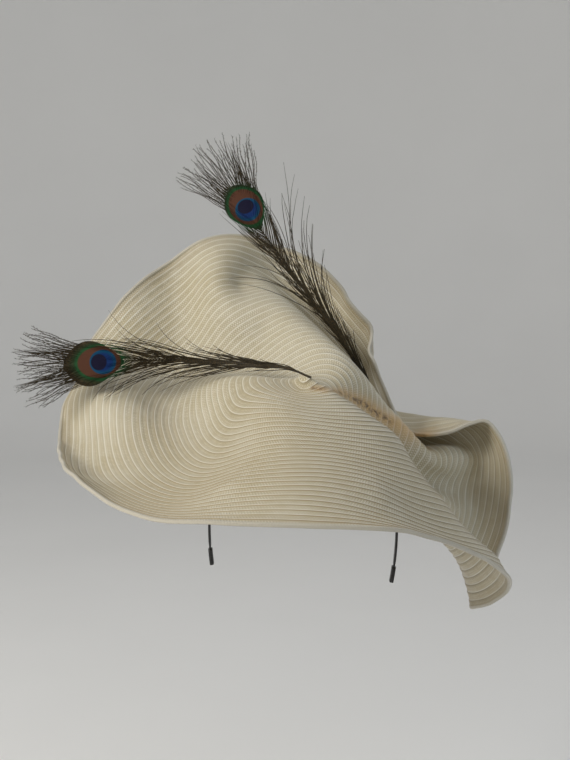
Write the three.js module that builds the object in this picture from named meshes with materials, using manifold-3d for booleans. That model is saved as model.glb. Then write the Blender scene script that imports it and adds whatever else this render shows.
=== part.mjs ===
// Fascinator: a round of cream straw braid, folded and pinched off centre, with two peacock
// feathers tucked into its folds, on a thin black headband. Millimetres, +Z up, +X to the
// wearer's left as seen from the front, +Y to the back. The origin is the top of the head,
// under the middle of the headband.
import * as THREE from 'three';
import { mergeVertices } from 'three/addons/utils/BufferGeometryUtils.js';
import Module from 'manifold-3d';

const wasm = await Module();
wasm.setup();

// Driving dimensions
const discRadius = 230;
const wallThickness = 2;
const lipThickness = 3;
const lipWidth = 3;
const lipRise = 0.8;
const discCentre = [-4, -4, 24.5];

const bandInnerHalfWidth = 73.5;
const bandCrownHeight = 90;
const bandLegLength = 133;
const bandThickness = 2;
const bandWidth = 7;
const leftLegDrop = 30;
const rightLegDrop = 44;
const capLength = 13;
const capThickness = 3.2;
const capWidth = 8.6;
const pieceGap = 0.3;

// The straw disc starts as a flat round net of rings and spokes
const ringCount = 20;
const spokeCount = 96;
const ringStep = discRadius / ringCount;
const spokeAngle = (2 * Math.PI) / spokeCount;

// How hard the net resists stretching and bending, and how hard a fold holds its place
const stretchStiffness = 10;
const bendStiffness = 60;
const holdStiffness = 4;
const settleSteps = 400;
const centrePull = 0.5;
const smallestGap = 1e-6;

// Places that the folds hold, from the disc's centre: angle on the flat disc in degrees,
// share of the radius, place in millimetres, and the pull on it
const holdColumns = ['angle', 'share', 'x', 'y', 'z', 'pull'];
const upperLobeRim = [
  [175, 1, -197, 58, -31, 2],
  [169, 1, -193, 75, -18, 1],
  [163, 1, -186, 92, -4, 1],
  [148, 1, -164, 125, 44, 1],
  [134, 1, -131, 146, 87, 1],
  [122, 1, -93, 160, 112, 1],
  [113, 1, -60, 170, 119, 1],
  [105, 1, -29, 175, 114, 1.5],
  [95.5, 1, 2, 174, 106, 2],
  [90.5, 1, 18, 171, 97, 2],
  [84.5, 1, 35, 161, 80, 2],
  [77, 1, 46, 148, 58, 2],
  [65.5, 1, 61, 127, 21, 2],
  [56.5, 1, 70, 103, -6, 2],
  [50, 1, 80, 87, -26, 2],
];
const rightLobeRim = [
  [44.5, 1, 90, 73, -42, 2],
  [38, 1, 110, 60, -49, 2],
  [35, 1, 122, 58, -49, 2],
  [30.5, 1, 141, 60, -40, 1.5],
  [26.5, 1, 156, 64, -35, 2],
  [20, 1, 171, 65, -57, 1],
  [13, 1, 176, 61, -86, 1],
  [7.5, 1, 174, 52, -106, 1],
  [2.5, 1, 171, 41, -122, 1],
  [-4.5, 1, 161, 22, -141, 1],
];
const tailRim = [
  [-19, 1, 135, -18, -178, 3],
  [-26, 1, 147, -42, -168, 1],
  [-33, 1, 157, -70, -151, 1],
  [-41, 1, 153, -100, -133, 1],
];
const frontLobeRim = [
  [-56, 1, 129, -147, -106, 1],
  [-66, 1, 101, -174, -89, 1],
  [-76, 1, 66, -194, -76, 1],
  [-85, 1, 34, -203, -73, 1],
  [-93, 1, 1, -206, -72, 1],
  [-102, 1, -31, -203, -72, 1],
  [-110, 1, -64, -193, -72, 1],
  [-125, 1, -114, -160, -72, 1],
  [-137, 1, -144, -124, -64, 1],
  [-147, 1, -162, -90, -58, 1],
  [-157, 1, -176, -50, -56, 2],
  [-165, 1, -185, -14, -53, 3],
  [-172, 1, -191, 14, -49, 3],
  [-179, 1, -195, 38, -42, 3],
];
const frontLobeSlope = [
  [-95, 0.25, 0, -50, -16, 0.6],
  [-95, 0.5, 1, -101, -34, 1],
  [-95, 0.75, 1, -160, -53, 1],
  [-75, 0.75, 55, -150, -58, 0.3],
  [-112, 0.75, -52, -146, -56, 0.4],
];
const tailFold = [
  [-44, 0.65, 106, -75, -78, 1],
  [-41, 0.9, 150, -85, -120, 1],
  [-40, 0.4, 77, -42, -34, 0.8],
];
const rightCrease = [
  [-34, 0.2, 43, -15, -12, 0.4],
  [-36, 0.35, 71, -25, -32, 0.8],
  [-8, 0.2, 42, 4, -19, 0.4],
  [-17, 0.35, 66, -3, -46, 0.8],
  [-19, 0.5, 84, -8, -77, 0.8],
  [-19, 0.7, 103, -14, -119, 1],
];
const leftValley = [
  [-174, 0.75, -136, 12, -33, 0.3],
  [-172, 0.45, -76, 40, -19, 0.5],
  [-172, 0.25, -44, 20, -8, 0.5],
];
const upperLobeBowl = [
  [112, 0.75, -54, 145, 71, 0.7],
  [112, 0.5, -34, 102, 34, 0.6],
  [112, 0.25, -13, 55, -1, 0.5],
  [134, 0.75, -94, 124, 30, 0.6],
  [134, 0.5, -60, 88, 8, 0.6],
  [134, 0.25, -32, 46, -7, 0.4],
];
const ridgeCrest = [
  [66, 0.4, 32, 78, 12, 1],
  [52, 0.4, 43, 72, -1, 1],
  [38, 0.4, 57, 62, -12, 1],
  [27, 0.4, 68, 50, -27, 1],
  [18, 0.45, 82, 40, -42, 1],
];
const ridgeBack = [
  [57, 0.55, 46, 88, -18, 1.5],
  [48, 0.55, 54, 80, -30, 1.5],
  [40, 0.55, 67, 72, -42, 1.5],
  [30, 0.55, 80, 56, -58, 1.5],
  [22, 0.6, 98, 58, -64, 1],
];
const featherPocket = [
  [66, 0.7, 40, 112, -26, 2],
  [52, 0.7, 60, 90, -52, 2],
  [58, 0.9, 57, 120, -3, 1],
  [50, 0.9, 71, 102, -26, 1],
];
const rightLobeBowl = [
  [36, 0.7, 108, 90, -70, 1.5],
  [38, 0.85, 115, 84, -39, 0.8],
  [31, 0.85, 133, 88, -39, 0.8],
  [24, 0.8, 140, 90, -67, 0.6],
  [12, 0.85, 153, 86, -86, 0.8],
  [2, 0.85, 153, 72, -105, 0.8],
  [16, 0.65, 123, 58, -79, 0.8],
  [0, 0.7, 125, 45, -92, 0.6],
];
const rimHolds = namedRows(holdColumns, [...upperLobeRim, ...rightLobeRim, ...tailRim, ...frontLobeRim]);
const foldHolds = namedRows(holdColumns, [
  ...frontLobeSlope, ...tailFold, ...rightCrease, ...leftValley,
  ...upperLobeBowl, ...ridgeCrest, ...ridgeBack, ...featherPocket, ...rightLobeBowl,
]);

// Feathers: each row is a place on the quill, from the disc's centre, with how far the barbs
// reach over and under it there
const quillColumns = ['x', 'y', 'z', 'over', 'under'];
const leftQuill = [
  [10, -8, 6, 2, 2],
  [-9, 10, 12, 4, 4],
  [-39, 32, 13, 8, 7],
  [-72, 44, 14, 12, 12],
  [-113, 50, 15, 18, 22],
  [-152, 46, 14, 22, 27],
  [-194, 42, 11, 22, 30],
];
const upperQuill = [
  [71, 74, -26, 3, 2],
  [56, 76, -1, 7, 3],
  [39, 77, 27, 11, 4],
  [19, 84, 54, 17, 6],
  [-6, 100, 88, 28, 10],
  [-31, 118, 121, 42, 12],
  [-60, 136, 164, 50, 18],
];
const featherPlans = {
  left: {
    quill: namedRows(quillColumns, leftQuill),
    face: new THREE.Vector3(0, -1, 0.5).normalize(),
    eyeStart: 0.78,
    eyeEnd: 0.99,
    eyeHalfWidth: 20,
    fringeLength: 50,
    fringeTurn: 0.5,
  },
  upper: {
    quill: namedRows(quillColumns, upperQuill),
    face: new THREE.Vector3(0.1, -1, 0.1).normalize(),
    eyeStart: 0.83,
    eyeEnd: 0.985,
    eyeHalfWidth: 17,
    fringeLength: 58,
    fringeTurn: 0.48,
  },
};

// A feather's small sizes: the quill, the eye plate, and the locks that its barbs clump in
const quillWidth = 2.2;
const eyeThickness = 1.8;
const eyeEndWidth = 2;
const lockThickness = 1.1;
const lockWidth = 3.4;
const lockTipWidth = 0.9;
const locksPerSide = 7;
const lastLockStart = 0.8;
const lockRunShare = 0.36;
const fringeLocks = 7;
const fringeThickness = 0.9;
const fringeRootInset = 0.04;
const eyePeakLean = 1.3;
const eyeBluntness = 0.7;
const lockCurve = 1.2;

const quillSteps = 12;
const eyeSteps = 8;
const lockSteps = 4;
const fringeSteps = 2;

function namedRows(columns, rows) {
  return rows.map((row) => Object.fromEntries(columns.map((column, k) => [column, row[k]])));
}

function node(ring, spoke) {
  return ring === 0 ? 0 : 1 + (ring - 1) * spokeCount + ((spoke + spokeCount) % spokeCount);
}

const nodeCount = 1 + ringCount * spokeCount;

// A row of the system: weights on a few nodes whose sum is pulled to a place
function stencil(nodes, weights, stiffness) {
  return { nodes, weights, stiffness };
}

// Each thread of the net keeps its flat length
function netThreads() {
  const threads = [];
  for (let ring = 1; ring <= ringCount; ring++) {
    const r = ring * ringStep;
    const chord = 2 * r * Math.sin(spokeAngle / 2);
    const inner = r - ringStep;
    const slant = Math.hypot(r - inner * Math.cos(spokeAngle), inner * Math.sin(spokeAngle));
    for (let spoke = 0; spoke < spokeCount; spoke++) {
      threads.push({ a: node(ring - 1, spoke), b: node(ring, spoke), length: ringStep, weight: 1 });
      threads.push({ a: node(ring, spoke), b: node(ring, spoke + 1), length: chord, weight: 1 });
      if (ring > 1) {
        threads.push({ a: node(ring, spoke), b: node(ring - 1, spoke + 1), length: slant, weight: 0.5 });
        threads.push({ a: node(ring - 1, spoke), b: node(ring, spoke + 1), length: slant, weight: 0.5 });
      }
    }
  }
  return threads;
}

// Bending along a spoke, round a ring and in twist, each nothing while the net is flat
function netBends() {
  const bends = [];
  const flatTurn = 2 * (1 - Math.cos(spokeAngle));
  for (let ring = 1; ring <= ringCount; ring++) {
    const r = ring * ringStep;
    const arc = r * spokeAngle;
    const stiffness = bendStiffness * arc * ringStep;
    const turn = flatTurn * ring;
    const outer = (ring + 1) / (ring + 0.5);
    const inner = ring / (ring + 0.5);
    for (let spoke = 0; spoke < spokeCount; spoke++) {
      const here = node(ring, spoke);
      const aside = node(ring, spoke + 1);
      const ringNodes = [node(ring, spoke - 1), here, aside, node(ring - 1, spoke)];
      bends.push(stencil(ringNodes, [1, turn - 2, 1, -turn], stiffness / arc ** 4));
      if (ring < ringCount) {
        const spokeNodes = [node(ring - 1, spoke), here, node(ring + 1, spoke)];
        bends.push(stencil(spokeNodes, [1, -2, 1], stiffness / ringStep ** 4));
        const twistNodes = [here, aside, node(ring + 1, spoke), node(ring + 1, spoke + 1)];
        bends.push(stencil(twistNodes, [outer, -outer, -inner, inner], stiffness / (ringStep * arc) ** 2));
      }
    }
  }
  return bends;
}

// A held place lies between two spokes of its ring
function holdStencil(hold) {
  const turn = (((hold.angle + 360) % 360) / 360) * spokeCount;
  const spoke = Math.floor(turn);
  const ring = Math.round(hold.share * ringCount);
  const part = turn - spoke;
  const nodes = [node(ring, spoke), node(ring, spoke + 1)];
  const held = stencil(nodes, [1 - part, part], hold.pull * holdStiffness);
  held.place = [hold.x, hold.y, hold.z];
  return held;
}

// The square root of the system's matrix, as its lower triangle
function choleskyFactor(matrix, n) {
  for (let row = 0; row < n; row++) {
    for (let column = 0; column <= row; column++) {
      let sum = matrix[row * n + column];
      for (let k = 0; k < column; k++) {
        sum -= matrix[row * n + k] * matrix[column * n + k];
      }
      matrix[row * n + column] = row === column ? Math.sqrt(sum) : sum / matrix[column * n + column];
    }
  }
  return matrix;
}

function choleskySolve(factor, n, values) {
  for (let row = 0; row < n; row++) {
    let sum = values[row];
    for (let k = 0; k < row; k++) {
      sum -= factor[row * n + k] * values[k];
    }
    values[row] = sum / factor[row * n + row];
  }
  for (let row = n - 1; row >= 0; row--) {
    const value = values[row] / factor[row * n + row];
    values[row] = value;
    for (let k = 0; k < row; k++) {
      values[k] -= factor[row * n + k] * value;
    }
  }
}

// The rim's first shape: straight between the held places
function firstRimPlace(spoke) {
  const angle = (spoke * 360) / spokeCount;
  const sorted = rimHolds.map((hold) => ({ ...hold, angle: (hold.angle + 360) % 360 }));
  sorted.sort((p, q) => p.angle - q.angle);
  const last = sorted[sorted.length - 1];
  sorted.unshift({ ...last, angle: last.angle - 360 });
  sorted.push({ ...sorted[1], angle: sorted[1].angle + 360 });
  const ahead = sorted.findIndex((hold) => hold.angle > angle);
  const next = sorted[ahead];
  const before = sorted[ahead - 1];
  const part = (angle - before.angle) / (next.angle - before.angle);
  return ['x', 'y', 'z'].map((axis) => before[axis] + part * (next[axis] - before[axis]));
}

// Settle the net: its threads keep their lengths, its folds keep their places and it bends
// as little as it can
function foldedNet() {
  const n = nodeCount;
  const matrix = new Float64Array(n * n);
  const pulled = [new Float64Array(n), new Float64Array(n), new Float64Array(n)];
  const centreHold = stencil([0], [1], centrePull * holdStiffness);
  centreHold.place = [0, 0, 0];
  const holds = [...rimHolds, ...foldHolds].map(holdStencil).concat([centreHold]);
  const threads = netThreads();
  const threadRows = threads.map((t) => stencil([t.a, t.b], [1, -1], t.weight * stretchStiffness));
  for (const row of [...threadRows, ...netBends(), ...holds]) {
    row.nodes.forEach((p, i) => {
      row.nodes.forEach((q, k) => {
        matrix[p * n + q] += row.stiffness * row.weights[i] * row.weights[k];
      });
      if (row.place) {
        row.place.forEach((value, axis) => {
          pulled[axis][p] += row.stiffness * row.weights[i] * value;
        });
      }
    });
  }
  const factor = choleskyFactor(matrix, n);
  let net = [new Float64Array(n), new Float64Array(n), new Float64Array(n)];
  for (let spoke = 0; spoke < spokeCount; spoke++) {
    const rimPlace = firstRimPlace(spoke);
    for (let ring = 1; ring <= ringCount; ring++) {
      rimPlace.forEach((value, axis) => {
        net[axis][node(ring, spoke)] = (value * ring) / ringCount;
      });
    }
  }
  for (let step = 0; step < settleSteps; step++) {
    const wanted = pulled.map((values) => values.slice());
    for (const thread of threads) {
      const gap = net.map((values) => values[thread.a] - values[thread.b]);
      const gapLength = Math.max(Math.hypot(...gap), smallestGap);
      const scale = (thread.weight * stretchStiffness * thread.length) / gapLength;
      gap.forEach((value, axis) => {
        wanted[axis][thread.a] += scale * value;
        wanted[axis][thread.b] -= scale * value;
      });
    }
    wanted.forEach((values) => choleskySolve(factor, n, values));
    net = wanted;
  }
  return Array.from({ length: n }, (_, k) => new THREE.Vector3(net[0][k], net[1][k], net[2][k]));
}

// Upward normal of the settled net at each node
function netNormals(net) {
  const normals = net.map(() => new THREE.Vector3());
  const addFace = (a, b, c) => {
    const face = net[b].clone().sub(net[a]).cross(net[c].clone().sub(net[a]));
    [a, b, c].forEach((k) => normals[k].add(face));
  };
  for (let spoke = 0; spoke < spokeCount; spoke++) {
    addFace(0, node(1, spoke), node(1, spoke + 1));
    for (let ring = 1; ring < ringCount; ring++) {
      addFace(node(ring, spoke), node(ring + 1, spoke), node(ring + 1, spoke + 1));
      addFace(node(ring, spoke), node(ring + 1, spoke + 1), node(ring, spoke + 1));
    }
  }
  return normals.map((normal) => normal.normalize());
}

// Rings of the wall: where each lies along the radius, its half thickness and its spokes.
// The inner rings have fewer spokes, and the last three make the rolled lip.
function wallRings() {
  const rings = [];
  for (let ring = 1; ring < ringCount; ring++) {
    const thinning = ring < 3 ? 4 : ring < 6 ? 2 : 1;
    const spokes = spokeCount / thinning;
    rings.push({ along: ring, half: wallThickness / 2, spokes });
  }
  const lipStart = ringCount - lipWidth / ringStep;
  rings.push({ along: lipStart - lipRise / ringStep, half: wallThickness / 2, spokes: spokeCount });
  rings.push({ along: lipStart, half: lipThickness / 2, spokes: spokeCount });
  rings.push({ along: ringCount, half: lipThickness / 2, spokes: spokeCount });
  return rings;
}

function ringPoint(net, normals, ring, spoke, side) {
  const inner = Math.floor(ring.along);
  const part = ring.along - inner;
  const a = node(inner, spoke);
  const b = node(Math.min(inner + 1, ringCount), spoke);
  const point = net[a].clone().lerp(net[b], part);
  const normal = normals[a].clone().lerp(normals[b], part).normalize();
  return point.addScaledVector(normal, side * ring.half);
}

// Triangles between two rings, the outer with as many spokes or twice as many
function joinRings(inner, outer, innerStart, outerStart, faces) {
  const ratio = outer.spokes / inner.spokes;
  for (let spoke = 0; spoke < inner.spokes; spoke++) {
    const a = innerStart + spoke;
    const b = innerStart + ((spoke + 1) % inner.spokes);
    const outside = [];
    for (let k = 0; k <= ratio; k++) {
      outside.push(outerStart + ((spoke * ratio + k) % outer.spokes));
    }
    faces.push([a, outside[0], outside[1]]);
    if (ratio === 2) {
      faces.push([a, outside[1], b], [b, outside[1], outside[2]]);
    } else {
      faces.push([a, outside[1], b]);
    }
  }
}

function solidFrom(points, faces) {
  const geometry = new THREE.BufferGeometry();
  const places = points.flatMap((p) => [p.x, p.y, p.z]);
  geometry.setAttribute('position', new THREE.Float32BufferAttribute(places, 3));
  geometry.setIndex(faces.flat());
  geometry.computeVertexNormals();
  return geometry;
}

function strawDiscGeometry() {
  const net = foldedNet();
  const normals = netNormals(net);
  const rings = wallRings();
  const points = [];
  const faces = [];
  const rimStarts = [];
  for (const side of [1, -1]) {
    const sideFaces = [];
    const centre = points.length;
    points.push(net[0].clone().addScaledVector(normals[0], (side * wallThickness) / 2));
    let previousStart = 0;
    rings.forEach((ring, index) => {
      const start = points.length;
      const skip = spokeCount / ring.spokes;
      for (let spoke = 0; spoke < ring.spokes; spoke++) {
        points.push(ringPoint(net, normals, ring, spoke * skip, side));
      }
      if (index === 0) {
        for (let spoke = 0; spoke < ring.spokes; spoke++) {
          sideFaces.push([centre, start + spoke, start + ((spoke + 1) % ring.spokes)]);
        }
      } else {
        joinRings(rings[index - 1], ring, previousStart, start, sideFaces);
      }
      previousStart = start;
    });
    rimStarts.push(previousStart);
    faces.push(...(side > 0 ? sideFaces : sideFaces.map(([a, b, c]) => [a, c, b])));
  }
  const [top, bottom] = rimStarts;
  for (let spoke = 0; spoke < spokeCount; spoke++) {
    const next = (spoke + 1) % spokeCount;
    faces.push([top + spoke, bottom + spoke, bottom + next], [top + spoke, bottom + next, top + next]);
  }
  return solidFrom(points, faces);
}

// A closed solid through rings of points, each ring as long as the next, with flat ends
function loftGeometry(rings) {
  const sides = rings[0].length;
  const points = rings.flat();
  const faces = [];
  for (let ring = 0; ring < rings.length - 1; ring++) {
    for (let side = 0; side < sides; side++) {
      const a = ring * sides + side;
      const b = ring * sides + ((side + 1) % sides);
      faces.push([a, b, b + sides], [a, b + sides, a + sides]);
    }
  }
  const last = (rings.length - 1) * sides;
  for (let side = 1; side < sides - 1; side++) {
    faces.push([0, side + 1, side], [last, last + side, last + side + 1]);
  }
  return solidFrom(points, faces);
}

// Headband: half an ellipse over the crown, and two legs that draw in a little
function bandPoint(angle) {
  const height = angle >= 0 && angle <= Math.PI ? bandCrownHeight : bandLegLength;
  const x = Math.cos(angle) * (bandInnerHalfWidth + bandThickness / 2);
  const z = Math.sin(angle) * (height + bandThickness / 2) - bandCrownHeight;
  return new THREE.Vector3(x, 0, z);
}

function bandOutward(angle) {
  const step = 0.01;
  const along = bandPoint(angle + step).sub(bandPoint(angle - step)).normalize();
  return new THREE.Vector3(along.z, 0, -along.x);
}

// A bar along the band between two angles, with a rectangular section
function bandBar(fromAngle, toAngle, { thickness, width, steps }) {
  const rings = [];
  for (let step = 0; step <= steps; step++) {
    const angle = fromAngle + ((toAngle - fromAngle) * step) / steps;
    const middle = bandPoint(angle);
    const outward = bandOutward(angle).multiplyScalar(thickness / 2);
    const across = new THREE.Vector3(0, width / 2, 0);
    rings.push([
      middle.clone().sub(outward).sub(across),
      middle.clone().add(outward).sub(across),
      middle.clone().add(outward).add(across),
      middle.clone().sub(outward).add(across),
    ]);
  }
  return loftGeometry(rings);
}

const bandSection = { thickness: bandThickness, width: bandWidth, steps: 30 };
const capSection = { thickness: capThickness, width: capWidth, steps: 3 };
const rightLegAngle = -Math.asin(rightLegDrop / bandLegLength);
const leftLegAngle = Math.PI + Math.asin(leftLegDrop / bandLegLength);
const capAngle = capLength / bandLegLength;
const gapAngle = pieceGap / bandLegLength;

// A flat strip along a curve, with a width for each step
function stripGeometry(points, widths, flat, thickness) {
  const rings = points.map((point, k) => {
    const before = points[Math.max(k - 1, 0)];
    const after = points[Math.min(k + 1, points.length - 1)];
    const along = after.clone().sub(before).normalize();
    const across = along.clone().cross(flat).normalize().multiplyScalar(widths[k] / 2);
    const out = along.clone().cross(across).normalize().multiplyScalar(thickness / 2);
    return [
      point.clone().add(across),
      point.clone().add(out),
      point.clone().sub(across),
      point.clone().sub(out),
    ];
  });
  return loftGeometry(rings);
}

// How far the barbs reach to one side of the quill, at a share of its rows
function barbReach(plan, side, share) {
  const row = Math.min(share, 1) * (plan.quill.length - 1);
  const before = Math.min(Math.floor(row), plan.quill.length - 2);
  const part = row - before;
  return plan.quill[before][side] * (1 - part) + plan.quill[before + 1][side] * part;
}

function quillStrip(plan, curve) {
  const points = curve.getPoints(quillSteps);
  const widths = points.map((_, k) => quillWidth * (1 - k / (2 * quillSteps)));
  return stripGeometry(points, widths, plan.face, quillWidth);
}

// The eye: pointed where it meets the quill and blunt at its end
function eyePlate(plan, curve) {
  const points = [];
  const widths = [];
  for (let step = 0; step <= eyeSteps; step++) {
    const part = step / eyeSteps;
    points.push(curve.getPoint(plan.eyeStart + (plan.eyeEnd - plan.eyeStart) * part));
    const swell = Math.max(Math.sin(Math.PI * part ** eyePeakLean), 0) ** eyeBluntness;
    widths.push(eyeEndWidth + (2 * plan.eyeHalfWidth - eyeEndWidth) * swell);
  }
  return stripGeometry(points, widths, plan.face, eyeThickness);
}

// A lock of barbs leaves the quill and draws away from it as far as the barbs reach
function barbLock(plan, curve, side, lock) {
  const start = (lastLockStart * (lock + 0.5)) / locksPerSide;
  const run = Math.min(lockRunShare, 1 - start);
  const points = [];
  const widths = [];
  for (let step = 0; step <= lockSteps; step++) {
    const part = step / lockSteps;
    const share = start + run * part;
    const across = curve.getTangent(share).cross(plan.face).normalize();
    const reach = barbReach(plan, side, share) * part ** lockCurve * (side === 'over' ? 1 : -1);
    points.push(curve.getPoint(share).addScaledVector(across, reach));
    widths.push(lockWidth + (lockTipWidth - lockWidth) * part);
  }
  return stripGeometry(points, widths, plan.face, lockThickness);
}

// A lock of the fringe fans out beyond the eye
function fringeLock(plan, curve, lock) {
  const root = curve.getPoint(plan.eyeEnd - fringeRootInset);
  const outward = curve.getTangent(plan.eyeEnd - fringeRootInset);
  const across = outward.clone().cross(plan.face).normalize();
  const turn = plan.fringeTurn * ((2 * lock) / (fringeLocks - 1) - 1);
  const direction = outward.multiplyScalar(Math.cos(turn)).addScaledVector(across, Math.sin(turn));
  const points = [];
  const widths = [];
  for (let step = 0; step <= fringeSteps; step++) {
    const part = step / fringeSteps;
    points.push(root.clone().addScaledVector(direction, plan.fringeLength * part));
    widths.push(lockWidth + (lockTipWidth - lockWidth) * part);
  }
  return stripGeometry(points, widths, plan.face, fringeThickness);
}

function featherGeometry(plan) {
  const places = plan.quill.map((row) => new THREE.Vector3(row.x, row.y, row.z));
  const curve = new THREE.CatmullRomCurve3(places, false, 'centripetal');
  const pieces = [quillStrip(plan, curve), eyePlate(plan, curve)];
  for (const side of ['over', 'under']) {
    for (let lock = 0; lock < locksPerSide; lock++) {
      pieces.push(barbLock(plan, curve, side, lock));
    }
  }
  for (let lock = 0; lock < fringeLocks; lock++) {
    pieces.push(fringeLock(plan, curve, lock));
  }
  return fusedGeometry(pieces);
}

function manifoldFrom(geometry) {
  const plain = geometry.clone();
  plain.deleteAttribute('normal');
  const merged = mergeVertices(plain, 1e-4);
  const vertProperties = Float32Array.from(merged.attributes.position.array);
  const triVerts = Uint32Array.from(merged.index.array);
  return new wasm.Manifold(new wasm.Mesh({ numProp: 3, vertProperties, triVerts }));
}

function fusedGeometry(pieces) {
  const fused = pieces.map(manifoldFrom).reduce((sum, piece) => sum.add(piece));
  const mesh = fused.getMesh();
  const geometry = new THREE.BufferGeometry();
  geometry.setAttribute('position', new THREE.BufferAttribute(mesh.vertProperties, 3));
  geometry.setIndex(new THREE.BufferAttribute(mesh.triVerts, 1));
  geometry.computeVertexNormals();
  return geometry;
}

const straw = new THREE.MeshStandardMaterial({ color: 0xd9cfb4, roughness: 0.55, side: THREE.DoubleSide });
const blackSatin = new THREE.MeshStandardMaterial({ color: 0x121212, roughness: 0.5 });
const blackCap = new THREE.MeshStandardMaterial({ color: 0x0c0c0c, roughness: 0.4 });
const bronzeBarbs = new THREE.MeshStandardMaterial({ color: 0x2e3a1e, roughness: 0.45, metalness: 0.2 });

function namedMesh(name, geometry, material) {
  const mesh = new THREE.Mesh(geometry, material);
  mesh.name = name;
  return mesh;
}

const fascinator = new THREE.Group();
const strawGroup = new THREE.Group();
strawGroup.position.set(...discCentre);
strawGroup.add(namedMesh('straw_disc', strawDiscGeometry(), straw));
strawGroup.add(namedMesh('feather_left', featherGeometry(featherPlans.left), bronzeBarbs));
strawGroup.add(namedMesh('feather_upper', featherGeometry(featherPlans.upper), bronzeBarbs));
fascinator.add(strawGroup);

const bandStart = rightLegAngle + capAngle + gapAngle;
const bandEnd = leftLegAngle - capAngle - gapAngle;
const bandBars = [
  ['headband', bandStart, bandEnd, bandSection, blackSatin],
  ['headband_end_right', rightLegAngle, rightLegAngle + capAngle, capSection, blackCap],
  ['headband_end_left', leftLegAngle - capAngle, leftLegAngle, capSection, blackCap],
];
for (const [name, fromAngle, toAngle, section, material] of bandBars) {
  fascinator.add(namedMesh(name, bandBar(fromAngle, toAngle, section), material));
}

export default fascinator;
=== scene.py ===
"""Fascinator: a round of cream straw braid folded into lobes, with two peacock feathers in its folds,
on a thin black headband. The pieces are made in millimetres from the disc's centre or from the top
of the head, and written in metres in the CAD frame."""

import math

import bpy
import numpy as np
from mathutils import Matrix, Vector


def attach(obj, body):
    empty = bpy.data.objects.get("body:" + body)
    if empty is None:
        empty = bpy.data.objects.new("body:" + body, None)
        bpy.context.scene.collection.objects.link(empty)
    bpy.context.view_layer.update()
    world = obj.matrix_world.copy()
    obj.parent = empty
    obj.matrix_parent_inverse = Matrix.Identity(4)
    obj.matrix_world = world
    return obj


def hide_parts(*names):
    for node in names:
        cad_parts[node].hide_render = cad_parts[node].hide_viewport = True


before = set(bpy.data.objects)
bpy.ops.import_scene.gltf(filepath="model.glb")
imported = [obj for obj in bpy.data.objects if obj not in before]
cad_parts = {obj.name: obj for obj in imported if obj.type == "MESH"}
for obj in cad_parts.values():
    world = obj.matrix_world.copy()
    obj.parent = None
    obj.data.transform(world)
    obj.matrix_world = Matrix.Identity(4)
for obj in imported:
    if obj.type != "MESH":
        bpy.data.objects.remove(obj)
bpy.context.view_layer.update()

MM = 0.001
DISC_CENTRE = np.array([-4.0, -4.0, 24.5])

# The straw disc's sizes in mm, with the step from one row to the next at their seam
DISC_RADIUS = 230.0
WALL_THICKNESS = 2.0
LIP_THICKNESS = 3.0
LIP_WIDTH = 3.0
BRAID_ROWS = 37
BRAID_STEP = 0.6

# The lip's section from its inner edge to the rim: shares of its width and of its thickness
LIP_SECTION = ((1.0, 0.75), (0.8, 1.0), (0.3, 1.0), (0.1, 0.8), (0.0, 0.35))

# The fine mesh: its rings at shares of each braid row, which rises to its crest
ROW_CREST = 0.9
ROW_SAMPLES = (0.03, 0.5, ROW_CREST, 0.975)
FINE_SPOKES = 320
SLOPE_NUDGE = 0.004

# The flat net that the folds settle
RINGS = 20
SPOKES = 96
STRETCH = 10.0
BEND = 60.0
HOLD = 4.0
CENTRE_PULL = 0.5
SETTLE_STEPS = 400

# Places that the folds hold, in mm from the disc's centre: angle on the flat disc in degrees,
# share of the radius, x, y, z, and the pull on it
UPPER_LOBE_RIM = [
    (175, 1, -197, 58, -31, 2),
    (169, 1, -193, 75, -18, 1),
    (163, 1, -186, 92, -4, 1),
    (148, 1, -164, 125, 44, 1),
    (134, 1, -131, 146, 87, 1),
    (122, 1, -93, 160, 112, 1),
    (113, 1, -60, 170, 119, 1),
    (105, 1, -29, 175, 114, 1.5),
    (95.5, 1, 2, 174, 106, 2),
    (90.5, 1, 18, 171, 97, 2),
    (84.5, 1, 35, 161, 80, 2),
    (77, 1, 46, 148, 58, 2),
    (65.5, 1, 61, 127, 21, 2),
    (56.5, 1, 70, 103, -6, 2),
    (50, 1, 80, 87, -26, 2),
]
RIGHT_LOBE_RIM = [
    (44.5, 1, 90, 73, -42, 2),
    (38, 1, 110, 60, -49, 2),
    (35, 1, 122, 58, -49, 2),
    (30.5, 1, 141, 60, -40, 1.5),
    (26.5, 1, 156, 64, -35, 2),
    (20, 1, 171, 65, -57, 1),
    (13, 1, 176, 61, -86, 1),
    (7.5, 1, 174, 52, -106, 1),
    (2.5, 1, 171, 41, -122, 1),
    (-4.5, 1, 161, 22, -141, 1),
]
TAIL_RIM = [
    (-19, 1, 135, -18, -178, 3),
    (-26, 1, 147, -42, -168, 1),
    (-33, 1, 157, -70, -151, 1),
    (-41, 1, 153, -100, -133, 1),
]
FRONT_LOBE_RIM = [
    (-56, 1, 129, -147, -106, 1),
    (-66, 1, 101, -174, -89, 1),
    (-76, 1, 66, -194, -76, 1),
    (-85, 1, 34, -203, -73, 1),
    (-93, 1, 1, -206, -72, 1),
    (-102, 1, -31, -203, -72, 1),
    (-110, 1, -64, -193, -72, 1),
    (-125, 1, -114, -160, -72, 1),
    (-137, 1, -144, -124, -64, 1),
    (-147, 1, -162, -90, -58, 1),
    (-157, 1, -176, -50, -56, 2),
    (-165, 1, -185, -14, -53, 3),
    (-172, 1, -191, 14, -49, 3),
    (-179, 1, -195, 38, -42, 3),
]
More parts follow.
